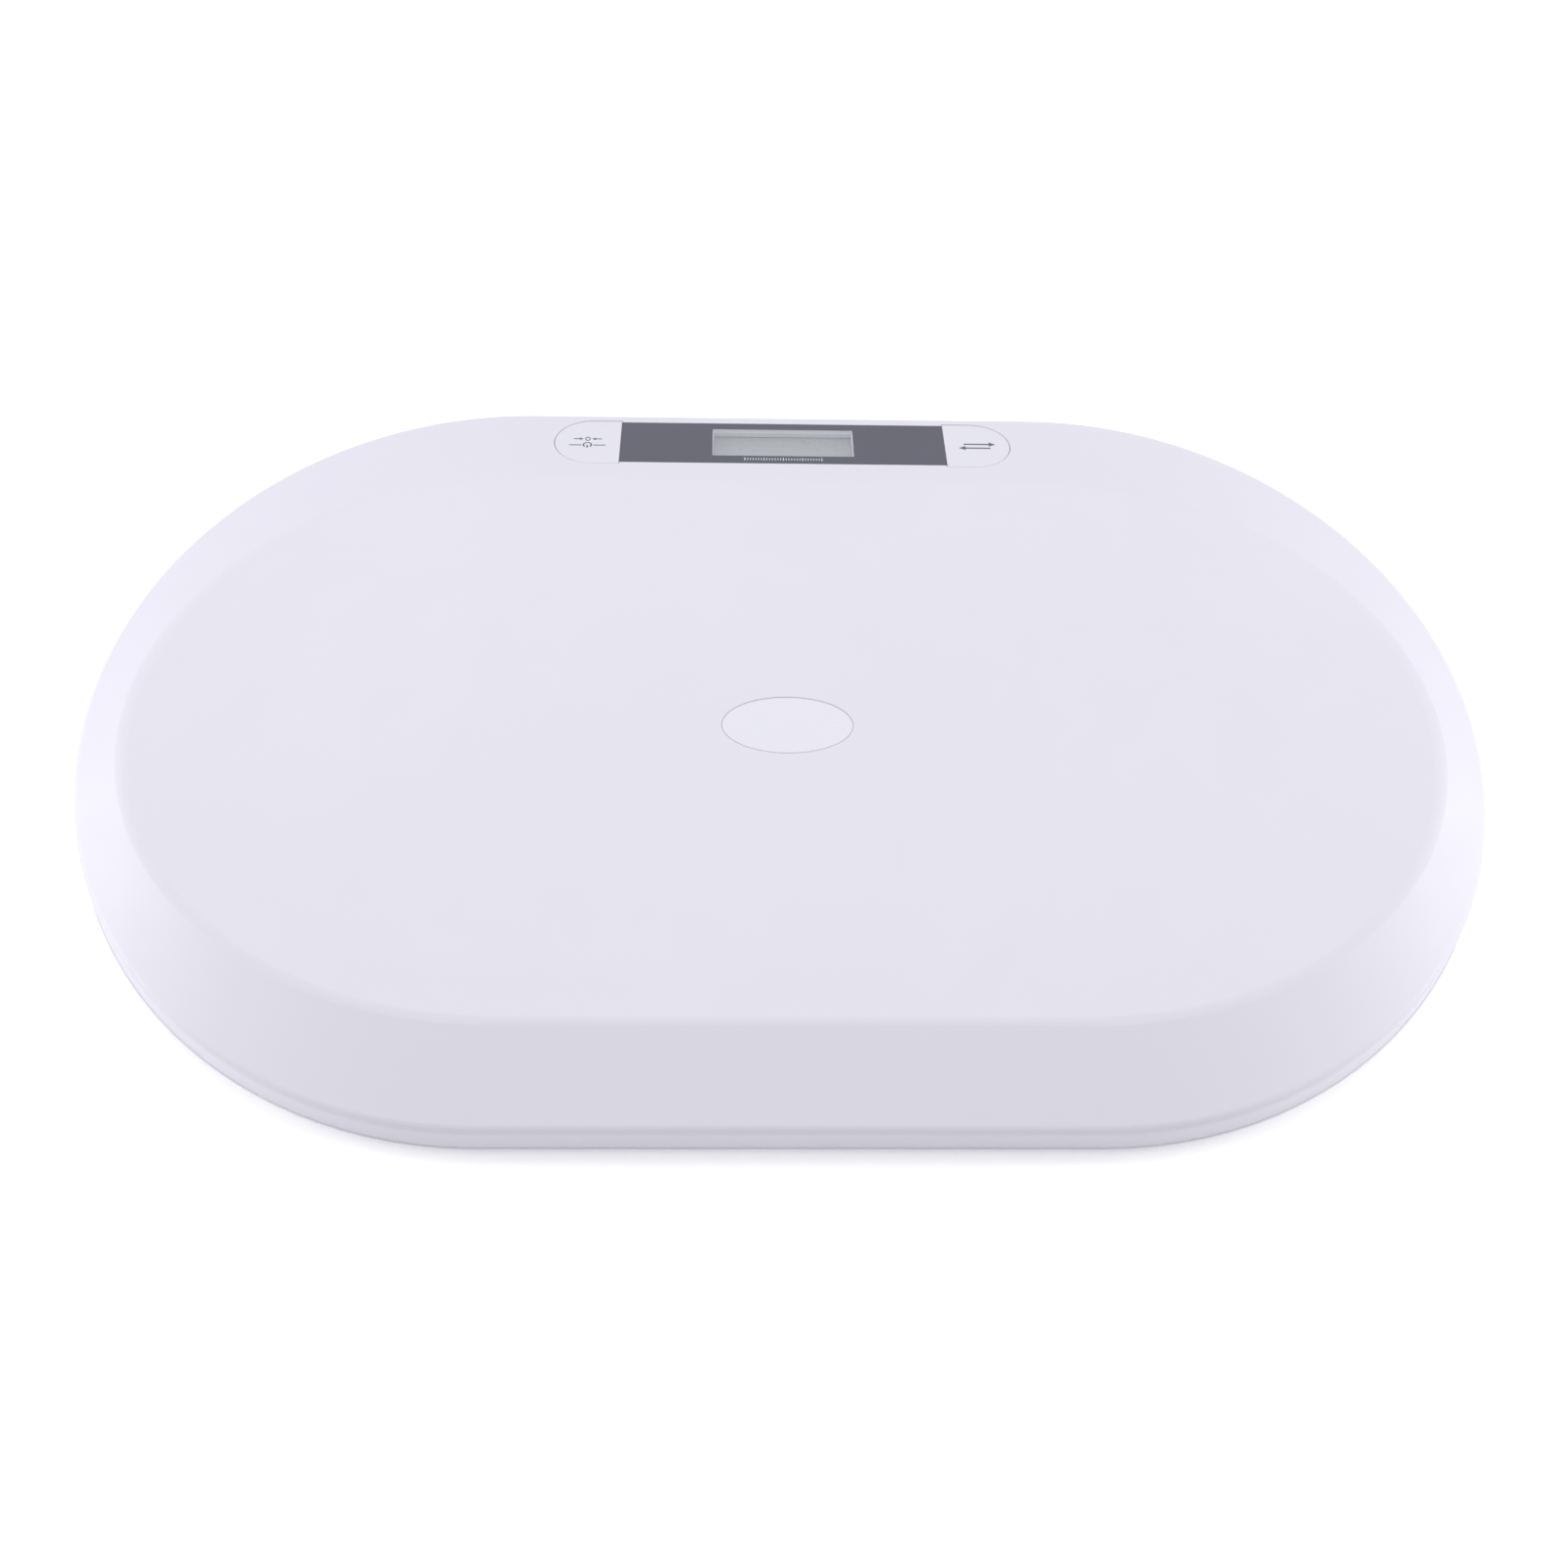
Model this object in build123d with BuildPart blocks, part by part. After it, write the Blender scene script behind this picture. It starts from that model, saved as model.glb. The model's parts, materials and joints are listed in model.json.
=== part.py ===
"""Flat electronic scale for small animals: a low oval platform on four sensing feet."""
from build123d import *
import math
import os

os.makedirs("parts", exist_ok=True)

# ---- driving dimensions, mm; origin on the floor under the middle of the scale ----
FLOOR_GAP = 3.0           # floor to the tray's underside
SHOULDER_HALF = (277.5, 171.0)
SHOULDER_STRAIGHT = 110.7
SHOULDER_Z = 15.7         # top of the upright skirt
SKIRT_DRAFT = 0.8         # the skirt widens by this much down to its lower edge
PLATEAU_HALF = (256.3, 128.3)
PLATEAU_STRAIGHT = 106.0
PLATEAU_SHIFT = 5.5       # the weighing plateau sits away from the display
PLATEAU_Z = 27.1
WALL = 2.5
RIDGE_RADIUS = 12.0
SHOULDER_RADIUS = 3.5

LIP = 0.5                 # the tray's lip stands out from under the skirt
LIP_TOP_Z = FLOOR_GAP + 0.8
TRAY_TOP_Z = FLOOR_GAP + 2.2
TRAY_RIM_Z = 9.0

WINDOW = (142.2, 31.4)    # dark display window, on the slope
WINDOW_MIDDLE = 21.95     # from the shoulder to the window's middle, up the slope
LCD_VIEW = (61.8, 20.6)
LCD_MIDDLE = 21.2
WINDOW_THICK = 1.5
WINDOW_POCKET = 1.65
KEY_LENGTH = 29.0
KEY_HEIGHT = 33.0
KEY_GAP = 0.3
KEY_SINK = 0.1            # key face below the slope
SWITCH_X = 86.0
BOARD_TOP = -9.0          # heights below are measured out from the slope's surface
BOARD_THICK = 1.6
LCD_FRONT = -3.9
LCD_THICK = 2.8

FOOT_X = 178.0
FOOT_Y = 80.0
FOOT_RADIUS = 18.0
FOOT_WELL_RADIUS = 20.0
FOOT_WELL_CEILING_Z = 7.2
PAD_THICK = 1.6
FOOT_THICK = 3.6
CELL_SIDE = 34.0
CELL_Z = 10.0
CELL_THICK = 2.0
HOLDER_SIDE = 42.0
HOLDER_TOP_Z = 13.0

BATTERY_Y = -40.0         # middle of the battery box
BATTERY_RADIUS = 5.2
BATTERY_LENGTH = 44.5
BATTERY_PITCH = 11.4
BOX_INNER = (56.0, 35.6)
BOX_TOP_Z = 17.0
DOOR = (58.0, 38.0)
DOOR_THICK = 2.0
DOOR_GAP = 0.5
TRUNNION_RADIUS = 0.8

RIB_BOTTOM_Z = 19.8
CEILING_Z = PLATEAU_Z - WALL
REAR_SCREWS = [(-120, 118), (0, 118), (120, 118)]
FRONT_SCREWS = [(-138, -112), (138, -112)]
SCREW_PLACES = [(-236, 0), (236, 0)] + REAR_SCREWS + FRONT_SCREWS
PART_JOIN_Z = 11.2        # where the cover's screw posts meet the tray's pillars
LEAD_RADIUS = 1.1

# the plane of the display slope: x to the right, y up the slope, z out of its surface
SLOPE_RUN = SHOULDER_HALF[1] - (PLATEAU_HALF[1] - PLATEAU_SHIFT)
SLOPE_RISE = PLATEAU_Z - SHOULDER_Z
SLOPE_ANGLE = math.degrees(math.atan2(SLOPE_RISE, SLOPE_RUN))
SLOPE = Plane((0, -SHOULDER_HALF[1], SHOULDER_Z)).rotated((SLOPE_ANGLE, 0, 0))


def on_slope(height):
    """The display slope's plane, moved out of the surface by a height."""
    return SLOPE.offset(height)


def oval(half_length, half_width, straight, y_centre=0.0):
    """Two straight sides joined by half-ellipse ends."""
    end = half_length - straight
    with BuildSketch() as outline:
        with BuildLine():
            EllipticalCenterArc((straight, y_centre), end, half_width, -90, arc_size=180)
            EllipticalCenterArc((-straight, y_centre), end, half_width, 90, arc_size=180)
            Line((straight, y_centre + half_width), (-straight, y_centre + half_width))
            Line((-straight, y_centre - half_width), (straight, y_centre - half_width))
        make_face()
    return outline.sketch


def shoulder_oval(grow):
    """The skirt's outline, grown or shrunk all round."""
    return oval(SHOULDER_HALF[0] + grow, SHOULDER_HALF[1] + grow, SHOULDER_STRAIGHT)


def plateau_oval(grow):
    """The plateau's outline, grown or shrunk all round."""
    return oval(PLATEAU_HALF[0] + grow, PLATEAU_HALF[1] + grow, PLATEAU_STRAIGHT, PLATEAU_SHIFT)


def key_outline(side, grow):
    """A D whose flat side faces the display window."""
    straight = KEY_LENGTH - KEY_HEIGHT / 2
    inner = WINDOW[0] / 2 + KEY_GAP - grow
    radius = KEY_HEIGHT / 2 + grow
    with BuildSketch() as outline:
        with BuildLine():
            start = (side * inner, WINDOW_MIDDLE - radius)
            corner = (side * (WINDOW[0] / 2 + straight), WINDOW_MIDDLE - radius)
            tip = (side * (WINDOW[0] / 2 + straight + radius), WINDOW_MIDDLE)
            far_corner = (corner[0], WINDOW_MIDDLE + radius)
            far_start = (start[0], WINDOW_MIDDLE + radius)
            Line(start, corner)
            ThreePointArc(corner, tip, far_corner)
            Line(far_corner, far_start)
            Line(far_start, start)
        make_face()
    return outline.sketch


def save(piece, name):
    """Label a finished piece and write it under its own name."""
    piece.label = name
    export_step(piece, f"parts/{name}.step")


FEET = {
    "front_right": (FOOT_X, -FOOT_Y),
    "front_left": (-FOOT_X, -FOOT_Y),
    "rear_right": (FOOT_X, FOOT_Y),
    "rear_left": (-FOOT_X, FOOT_Y),
}
FOOT_PLACES = list(FEET.values())
HOLDER_POST = 15.0        # the cover's posts bear on each holder this far from its middle
HOLDER_POSTS = [
    (x + dx, y + dy)
    for x, y in FOOT_PLACES
    for dx in (-HOLDER_POST, HOLDER_POST)
    for dy in (-HOLDER_POST, HOLDER_POST)
]
LABEL_HALF = (25.5, 13.15)
LABEL_Y = 6.2
LABEL_POCKET = 0.35
BOARD_SCREWS = [(-60, 11), (60, 11), (-60, 33), (60, 33)]

# ---- top cover ----
lower_outline = shoulder_oval(SKIRT_DRAFT)
shoulder_outline = shoulder_oval(0)
plateau_outline = plateau_oval(0)
inner_lower = shoulder_oval(SKIRT_DRAFT - WALL)
inner_shoulder = shoulder_oval(-WALL)
inner_plateau = plateau_oval(-0.4)
key_holes = [key_outline(side, KEY_GAP) for side in (-1, 1)]
INNER_SHOULDER_Z = SHOULDER_Z - 2.0

with BuildPart() as top_cover:
    with BuildSketch(Plane.XY.offset(LIP_TOP_Z)):
        add(lower_outline)
    with BuildSketch(Plane.XY.offset(SHOULDER_Z)):
        add(shoulder_outline)
    loft(ruled=True)
    with BuildSketch(Plane.XY.offset(SHOULDER_Z)):
        add(shoulder_outline)
    with BuildSketch(Plane.XY.offset(PLATEAU_Z)):
        add(plateau_outline)
    loft(ruled=True)
    fillet(top_cover.faces().sort_by(Axis.Z)[-1].edges(), radius=RIDGE_RADIUS)
    shoulder = top_cover.edges().filter_by(lambda e: abs(e.center().Z - SHOULDER_Z) < 0.02)
    fillet(shoulder, radius=SHOULDER_RADIUS)
    # the hollow inside
    with BuildSketch(Plane.XY.offset(LIP_TOP_Z)):
        add(inner_lower)
    with BuildSketch(Plane.XY.offset(INNER_SHOULDER_Z)):
        add(inner_shoulder)
    loft(ruled=True, mode=Mode.SUBTRACT)
    with BuildSketch(Plane.XY.offset(INNER_SHOULDER_Z)):
        add(inner_shoulder)
    with BuildSketch(Plane.XY.offset(CEILING_Z)):
        add(inner_plateau)
    loft(ruled=True, mode=Mode.SUBTRACT)
    # stiffening ribs under the plateau
    with BuildSketch(Plane.XY.offset(RIB_BOTTOM_Z)):
        with Locations((0, -46), (0, 0), (0, 46)):
            Rectangle(470, 1.6)
        with Locations((0, 92)):
            Rectangle(330, 1.6)
        with Locations(*[(x, PLATEAU_SHIFT) for x in (-60, 0, 60)]):
            Rectangle(1.6, 228)
        with Locations(*[(x, PLATEAU_SHIFT) for x in (-156, 156)]):
            Rectangle(1.6, 200)
    extrude(amount=CEILING_Z + 0.5 - RIB_BOTTOM_Z)
    # posts that press on the sensor holders, and posts for the screws
    with BuildSketch(Plane.XY.offset(HOLDER_TOP_Z)):
        with Locations(*HOLDER_POSTS):
            Circle(3.0)
    extrude(amount=CEILING_Z + 0.5 - HOLDER_TOP_Z)
    with BuildSketch(Plane.XY.offset(PART_JOIN_Z)):
        with Locations(*SCREW_PLACES):
            Circle(4.2)
            Circle(1.5, mode=Mode.SUBTRACT)
    extrude(amount=CEILING_Z + 0.5 - PART_JOIN_Z)
    # backing of the display window, and posts for the circuit board
    with BuildSketch(on_slope(-3.7)):
        with Locations((0, WINDOW_MIDDLE)):
            Rectangle(134, WINDOW[1] + 6)
    extrude(amount=1.9)
    with BuildSketch(on_slope(BOARD_TOP)):
        with Locations(*BOARD_SCREWS):
            Circle(3.2)
    extrude(amount=-BOARD_TOP - 2.0)
    with BuildSketch(on_slope(BOARD_TOP)):
        with Locations(*BOARD_SCREWS):
            Circle(1.0)
    extrude(amount=5.0, mode=Mode.SUBTRACT)
    # pocket of the display window, view of the display, and openings for the keys
    with BuildSketch(on_slope(0)):
        with Locations((0, WINDOW_MIDDLE)):
            Rectangle(WINDOW[0] + 0.2, WINDOW[1] + 0.2)
    extrude(amount=-WINDOW_POCKET, mode=Mode.SUBTRACT)
    with BuildSketch(on_slope(0)):
        with Locations((0, LCD_MIDDLE)):
            Rectangle(LCD_VIEW[0] - 0.6, LCD_VIEW[1] - 0.6)
    extrude(amount=-5.0, mode=Mode.SUBTRACT)
    with BuildSketch(on_slope(0)):
        add(key_holes)
    extrude(amount=-4.0, mode=Mode.SUBTRACT)
    # shallow pocket of the oval label
    with BuildSketch(Plane.XY.offset(PLATEAU_Z)):
        with Locations((0, LABEL_Y)):
            Ellipse(LABEL_HALF[0] + 0.35, LABEL_HALF[1] + 0.35)
    extrude(amount=-LABEL_POCKET, mode=Mode.SUBTRACT)
save(top_cover.part, "top_cover")

with BuildPart() as center_label:
    with BuildSketch(Plane.XY.offset(PLATEAU_Z - LABEL_POCKET)):
        with Locations((0, LABEL_Y)):
            Ellipse(*LABEL_HALF)
    extrude(amount=0.25)
save(center_label.part, "center_label")

# ---- base tray ----
lip_outline = shoulder_oval(SKIRT_DRAFT + LIP)
rim_outline = shoulder_oval(SKIRT_DRAFT - WALL - 0.9)
rim_inside = shoulder_oval(SKIRT_DRAFT - WALL - 2.7)
BOX_OUTER = (BOX_INNER[0] + 4.0, BOX_INNER[1] + 4.0)
DOOR_FRAME = (DOOR[0] + 9.0, DOOR[1] + 7.0)
DOOR_FRAME_TOP_Z = 7.0
HINGE_Y = BATTERY_Y + DOOR[1] / 2 - DOOR_THICK / 2
HINGE_Z = FLOOR_GAP + DOOR_THICK / 2
LATCH = (14.0, 1.2)
LATCH_Y = BATTERY_Y - DOOR[1] / 2 + LATCH[1] / 2
RATING_LABEL = (60.0, 36.0)
RATING_PLACE = (95.0, 10.0)

with BuildPart() as base_tray:
    with BuildSketch(Plane.XY.offset(FLOOR_GAP)):
        add(lip_outline)
    extrude(amount=LIP_TOP_Z - FLOOR_GAP)
    with BuildSketch(Plane.XY.offset(LIP_TOP_Z)):
        add(rim_outline)
    extrude(amount=TRAY_TOP_Z - LIP_TOP_Z)
    with BuildSketch(Plane.XY.offset(TRAY_TOP_Z)):
        add(rim_outline)
        add(rim_inside, mode=Mode.SUBTRACT)
    extrude(amount=TRAY_RIM_Z - TRAY_TOP_Z)
    # raised wells of the feet
    with BuildSketch(Plane.XY.offset(TRAY_TOP_Z)):
        with Locations(*FOOT_PLACES):
            Circle(FOOT_WELL_RADIUS + 2.0)
    extrude(amount=FOOT_WELL_CEILING_Z + 2.0 - TRAY_TOP_Z)
    # pillars for the screws, battery box and door frame
    with BuildSketch(Plane.XY.offset(TRAY_TOP_Z)):
        with Locations(*SCREW_PLACES):
            Circle(5.4)
    extrude(amount=PART_JOIN_Z - TRAY_TOP_Z)
    with BuildSketch(Plane.XY.offset(TRAY_TOP_Z)):
        with Locations((0, BATTERY_Y)):
            Rectangle(*DOOR_FRAME)
    extrude(amount=DOOR_FRAME_TOP_Z - TRAY_TOP_Z)
    with BuildSketch(Plane.XY.offset(DOOR_FRAME_TOP_Z)):
        with Locations((0, BATTERY_Y)):
            Rectangle(*BOX_OUTER)
    extrude(amount=BOX_TOP_Z + 1.8 - DOOR_FRAME_TOP_Z)
    # stiffening ribs
    with BuildSketch(Plane.XY.offset(TRAY_TOP_Z)):
        with Locations((0, 74), (0, 146)):
            Rectangle(250, 1.6)
        with Locations(*[(x, 74) for x in (-70, 0, 70)]):
            Rectangle(1.6, 70)
    extrude(amount=2.6)
    # hollows
    with BuildSketch(Plane.XY.offset(FLOOR_GAP)):
        with Locations(*FOOT_PLACES):
            Circle(FOOT_WELL_RADIUS)
    extrude(amount=FOOT_WELL_CEILING_Z - FLOOR_GAP, mode=Mode.SUBTRACT)
    with BuildSketch(Plane.XY.offset(FLOOR_GAP)):
        with Locations(*FOOT_PLACES):
            Circle(7.5)
    extrude(amount=8.0, mode=Mode.SUBTRACT)
    with BuildSketch(Plane.XY.offset(FLOOR_GAP)):
        with Locations((0, BATTERY_Y)):
            Rectangle(*BOX_INNER)
    extrude(amount=BOX_TOP_Z - FLOOR_GAP, mode=Mode.SUBTRACT)
    with BuildSketch(Plane.XY.offset(FLOOR_GAP)):
        with Locations((0, BATTERY_Y)):
            Rectangle(DOOR[0] + 2 * DOOR_GAP, DOOR[1] + 2 * DOOR_GAP)
    extrude(amount=DOOR_THICK + 0.15, mode=Mode.SUBTRACT)
    with BuildSketch(Plane.XY.offset(FLOOR_GAP)):
        with Locations((0, LATCH_Y)):
            Rectangle(LATCH[0] + 2.0, LATCH[1] + 2.0)
    extrude(amount=6.0, mode=Mode.SUBTRACT)
    with BuildSketch(Plane.YZ.offset(-DOOR[0] / 2 - 2.6)):
        with Locations((HINGE_Y, HINGE_Z)):
            Circle(TRUNNION_RADIUS + 0.08)
    extrude(amount=DOOR[0] + 5.2, mode=Mode.SUBTRACT)
    with BuildSketch(Plane.XY.offset(FLOOR_GAP)):
        with Locations((0, BATTERY_Y - DOOR[1] / 2 - DOOR_GAP)):
            Circle(8.0)
    extrude(amount=1.2, mode=Mode.SUBTRACT)
    with BuildSketch(Plane.XY.offset(FLOOR_GAP)):
        with Locations(*SCREW_PLACES):
            Circle(3.5)
    extrude(amount=4.0, mode=Mode.SUBTRACT)
    with BuildSketch(Plane.XY.offset(FLOOR_GAP)):
        with Locations(*SCREW_PLACES):
            Circle(1.7)
    extrude(amount=10.0, mode=Mode.SUBTRACT)
    with BuildSketch(Plane.XY.offset(FLOOR_GAP)):
        with Locations(RATING_PLACE):
            RectangleRounded(RATING_LABEL[0] + 0.6, RATING_LABEL[1] + 0.6, 3.0)
    extrude(amount=0.25, mode=Mode.SUBTRACT)
save(base_tray.part, "base_tray")

with BuildPart() as rating_label:
    with BuildSketch(Plane.XY.offset(FLOOR_GAP + 0.05)):
        with Locations(RATING_PLACE):
            RectangleRounded(*RATING_LABEL, 2.8)
    extrude(amount=0.2)
save(rating_label.part, "rating_label")

SCREW_SEAT_Z = FLOOR_GAP + 4.0
with BuildPart() as cover_screws:
    with BuildSketch(Plane.XY.offset(SCREW_SEAT_Z - 2.2)):
        with Locations(*SCREW_PLACES):
            Circle(3.0)
    extrude(amount=2.2)
    with BuildSketch(Plane.XY.offset(SCREW_SEAT_Z)):
        with Locations(*SCREW_PLACES):
            Circle(1.5)
    extrude(amount=12.0)
    with BuildSketch(Plane.XY.offset(SCREW_SEAT_Z - 2.2)):
        with Locations(*SCREW_PLACES):
            Rectangle(3.4, 0.8)
            Rectangle(0.8, 3.4)
    extrude(amount=1.2, mode=Mode.SUBTRACT)
save(cover_screws.part, "cover_screws")

# ---- display, keys and circuit board, all set parallel to the slope ----
with BuildPart() as display_window:
    with BuildSketch(on_slope(-WINDOW_POCKET)):
        with Locations((0, WINDOW_MIDDLE)):
            Rectangle(*WINDOW)
        with Locations((0, LCD_MIDDLE)):
            Rectangle(*LCD_VIEW, mode=Mode.SUBTRACT)
    extrude(amount=WINDOW_THICK)
save(display_window.part, "display_window")

with BuildPart() as display_lens:
    with BuildSketch(on_slope(-WINDOW_POCKET)):
        with Locations((0, LCD_MIDDLE)):
            Rectangle(*LCD_VIEW)
    extrude(amount=WINDOW_THICK)
save(display_lens.part, "display_lens")

LCD_GLASS = (69.0, 27.6)
with BuildPart() as lcd_glass:
    with BuildSketch(on_slope(LCD_FRONT - LCD_THICK)):
        with Locations((0, LCD_MIDDLE)):
            Rectangle(*LCD_GLASS)
    extrude(amount=LCD_THICK)
save(lcd_glass.part, "lcd_glass")

with BuildPart() as lcd_frame:
    with BuildSketch(on_slope(BOARD_TOP)):
        with Locations((0, LCD_MIDDLE)):
            Rectangle(LCD_GLASS[0] + 5.0, LCD_GLASS[1] + 3.6)
            Rectangle(LCD_GLASS[0] + 0.4, LCD_GLASS[1] + 0.4, mode=Mode.SUBTRACT)
    extrude(amount=-3.7 - BOARD_TOP)
save(lcd_frame.part, "lcd_frame")

with BuildPart() as lcd_connector_strips:
    with BuildSketch(on_slope(BOARD_TOP)):
        with Locations((0, LCD_MIDDLE - 12.2), (0, LCD_MIDDLE + 12.2)):
            Rectangle(66.0, 2.0)
    extrude(amount=LCD_FRONT - LCD_THICK - BOARD_TOP)
save(lcd_connector_strips.part, "lcd_connector_strips")

BOARD_MIDDLE = 22.0
with BuildPart() as main_board:
    with BuildSketch(on_slope(BOARD_TOP - BOARD_THICK)):
        with Locations((0, BOARD_MIDDLE)):
            RectangleRounded(192.0, 31.0, 2.0)
        with Locations(*BOARD_SCREWS):
            Circle(1.3, mode=Mode.SUBTRACT)
    extrude(amount=BOARD_THICK)
save(main_board.part, "main_board")

with BuildPart() as board_chips:
    with BuildSketch(on_slope(BOARD_TOP - BOARD_THICK - 1.4)):
        with Locations((-22, BOARD_MIDDLE + 4)):
            Rectangle(12.0, 12.0)
        with Locations((18, BOARD_MIDDLE + 6)):
            Rectangle(10.0, 5.0)
        with Locations(*[(x, BOARD_MIDDLE + 12) for x in (30, 36, 42)]):
            Rectangle(2.0, 1.25)
    extrude(amount=1.4)
save(board_chips.part, "board_chips")

with BuildPart() as board_screws:
    with BuildSketch(on_slope(BOARD_TOP - BOARD_THICK - 1.5)):
        with Locations(*BOARD_SCREWS):
            Circle(2.4)
    extrude(amount=1.5)
    with BuildSketch(on_slope(BOARD_TOP - BOARD_THICK)):
        with Locations(*BOARD_SCREWS):
            Circle(1.0)
    extrude(amount=5.6)
save(board_screws.part, "board_screws")

for side, name in ((1, "power"), (-1, "unit")):
    key_face = key_outline(side, 0)
    key_flange = key_outline(side, 1.2)
    with BuildPart() as switch:
        with BuildSketch(on_slope(BOARD_TOP)):
            with Locations((side * SWITCH_X, WINDOW_MIDDLE)):
                Rectangle(6.0, 6.0)
        extrude(amount=3.5)
        with BuildSketch(on_slope(BOARD_TOP + 3.5)):
            with Locations((side * SWITCH_X, WINDOW_MIDDLE)):
                Circle(1.75)
        extrude(amount=0.9)
    save(switch.part, f"{name}_switch")
    with BuildPart() as key:
        with BuildSketch(on_slope(-2.9)):
            add(key_face)
        extrude(amount=2.9 - KEY_SINK)
        with BuildSketch(on_slope(-3.8)):
            add(key_flange)
        extrude(amount=0.9)
        with BuildSketch(on_slope(-4.1)):
            with Locations((side * SWITCH_X, WINDOW_MIDDLE)):
                Circle(2.5)
        extrude(amount=0.3)
    save(key.part, f"{name}_key")

# ---- sensing feet ----
for corner, (foot_x, foot_y) in FEET.items():
    with BuildPart() as pad:
        with BuildSketch(Plane.XY):
            with Locations((foot_x, foot_y)):
                Circle(FOOT_RADIUS - 1.0)
        extrude(amount=PAD_THICK)
        fillet(pad.edges().sort_by(Axis.Z)[0], radius=0.5)
    save(pad.part, f"foot_pad_{corner}")

    with BuildPart() as foot:
        with BuildSketch(Plane.XY.offset(PAD_THICK)):
            with Locations((foot_x, foot_y)):
                Circle(FOOT_RADIUS)
        extrude(amount=FOOT_THICK)
        fillet(foot.edges(), radius=0.6)
        with BuildSketch(Plane.XY.offset(PAD_THICK + FOOT_THICK)):
            with Locations((foot_x, foot_y)):
                Circle(6.0)
        extrude(amount=CELL_Z - PAD_THICK - FOOT_THICK)
    save(foot.part, f"foot_{corner}")

    with BuildPart() as holder:
        with BuildSketch(Plane.XY.offset(FOOT_WELL_CEILING_Z + 2.0)):
            with Locations((foot_x, foot_y)):
                RectangleRounded(HOLDER_SIDE, HOLDER_SIDE, 4.0)
                Rectangle(CELL_SIDE - 8.0, CELL_SIDE - 8.0, mode=Mode.SUBTRACT)
        extrude(amount=CELL_Z - FOOT_WELL_CEILING_Z - 2.0)
        with BuildSketch(Plane.XY.offset(CELL_Z)):
            with Locations((foot_x, foot_y)):
                RectangleRounded(HOLDER_SIDE, HOLDER_SIDE, 4.0)
                Rectangle(CELL_SIDE + 0.4, CELL_SIDE + 0.4, mode=Mode.SUBTRACT)
        extrude(amount=CELL_THICK)
        with BuildSketch(Plane.XY.offset(CELL_Z + CELL_THICK)):
            with Locations((foot_x, foot_y)):
                RectangleRounded(HOLDER_SIDE, HOLDER_SIDE, 4.0)
                Rectangle(CELL_SIDE - 4.0, CELL_SIDE - 4.0, mode=Mode.SUBTRACT)
        extrude(amount=HOLDER_TOP_Z - CELL_Z - CELL_THICK)
    save(holder.part, f"sensor_holder_{corner}")

    with BuildPart() as cell:
        with BuildSketch(Plane.XY.offset(CELL_Z)):
            with Locations((foot_x, foot_y)):
                RectangleRounded(CELL_SIDE, CELL_SIDE, 2.0)
            # a U-shaped slot leaves a tongue in the middle that the foot bears on
            with Locations((foot_x - 8.5, foot_y), (foot_x + 8.5, foot_y)):
                Rectangle(2.0, 20.0, mode=Mode.SUBTRACT)
            with Locations((foot_x, foot_y + 9.0)):
                Rectangle(17.0, 2.0, mode=Mode.SUBTRACT)
        extrude(amount=CELL_THICK)
    save(cell.part, f"load_cell_{corner}")

# ---- battery door, hung on two trunnions ----
door_y_low = BATTERY_Y - DOOR[1] / 2
with BuildPart() as battery_door:
    with BuildSketch(Plane.YZ.offset(-DOOR[0] / 2)):
        with Locations(((door_y_low + HINGE_Y) / 2, HINGE_Z)):
            Rectangle(HINGE_Y - door_y_low, DOOR_THICK)
        with Locations((HINGE_Y, HINGE_Z)):
            Circle(DOOR_THICK / 2)
    extrude(amount=DOOR[0])
    with BuildSketch(Plane.YZ.offset(-DOOR[0] / 2 - 2.0)):
        with Locations((HINGE_Y, HINGE_Z)):
            Circle(TRUNNION_RADIUS)
    extrude(amount=DOOR[0] + 4.0)
    with BuildSketch(Plane.XY.offset(FLOOR_GAP + DOOR_THICK)):
        with Locations((0, LATCH_Y)):
            Rectangle(*LATCH)
    extrude(amount=3.4)
    with BuildSketch(Plane.XY.offset(FLOOR_GAP)):
        with Locations(*[(0, BATTERY_Y - 11 + 2.4 * step) for step in range(4)]):
            Rectangle(16.0, 0.9)
    extrude(amount=0.5, mode=Mode.SUBTRACT)
save(battery_door.part, "battery_door")

BATTERY_Z = DOOR_FRAME_TOP_Z + 4.2
NUB_LENGTH = 1.0
PLATE_THICK = 0.5
# each row's place, and the way its battery's positive end faces along x
BATTERY_ROWS = {BATTERY_Y - BATTERY_PITCH: 1, BATTERY_Y: -1, BATTERY_Y + BATTERY_PITCH: 1}
CONTACT_LENGTH = BOX_INNER[0] / 2 - PLATE_THICK - BATTERY_LENGTH / 2
SPRING_TURNS = 4

with BuildPart() as batteries:
    for row_y, facing in BATTERY_ROWS.items():
        with BuildSketch(Plane.YZ.offset(-facing * BATTERY_LENGTH / 2)):
            with Locations((row_y, BATTERY_Z)):
                Circle(BATTERY_RADIUS)
        extrude(amount=facing * (BATTERY_LENGTH - NUB_LENGTH))
        with BuildSketch(Plane.YZ.offset(facing * (BATTERY_LENGTH / 2 - NUB_LENGTH))):
            with Locations((row_y, BATTERY_Z)):
                Circle(1.9)
        extrude(amount=facing * NUB_LENGTH)
save(batteries.part, "batteries")

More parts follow.
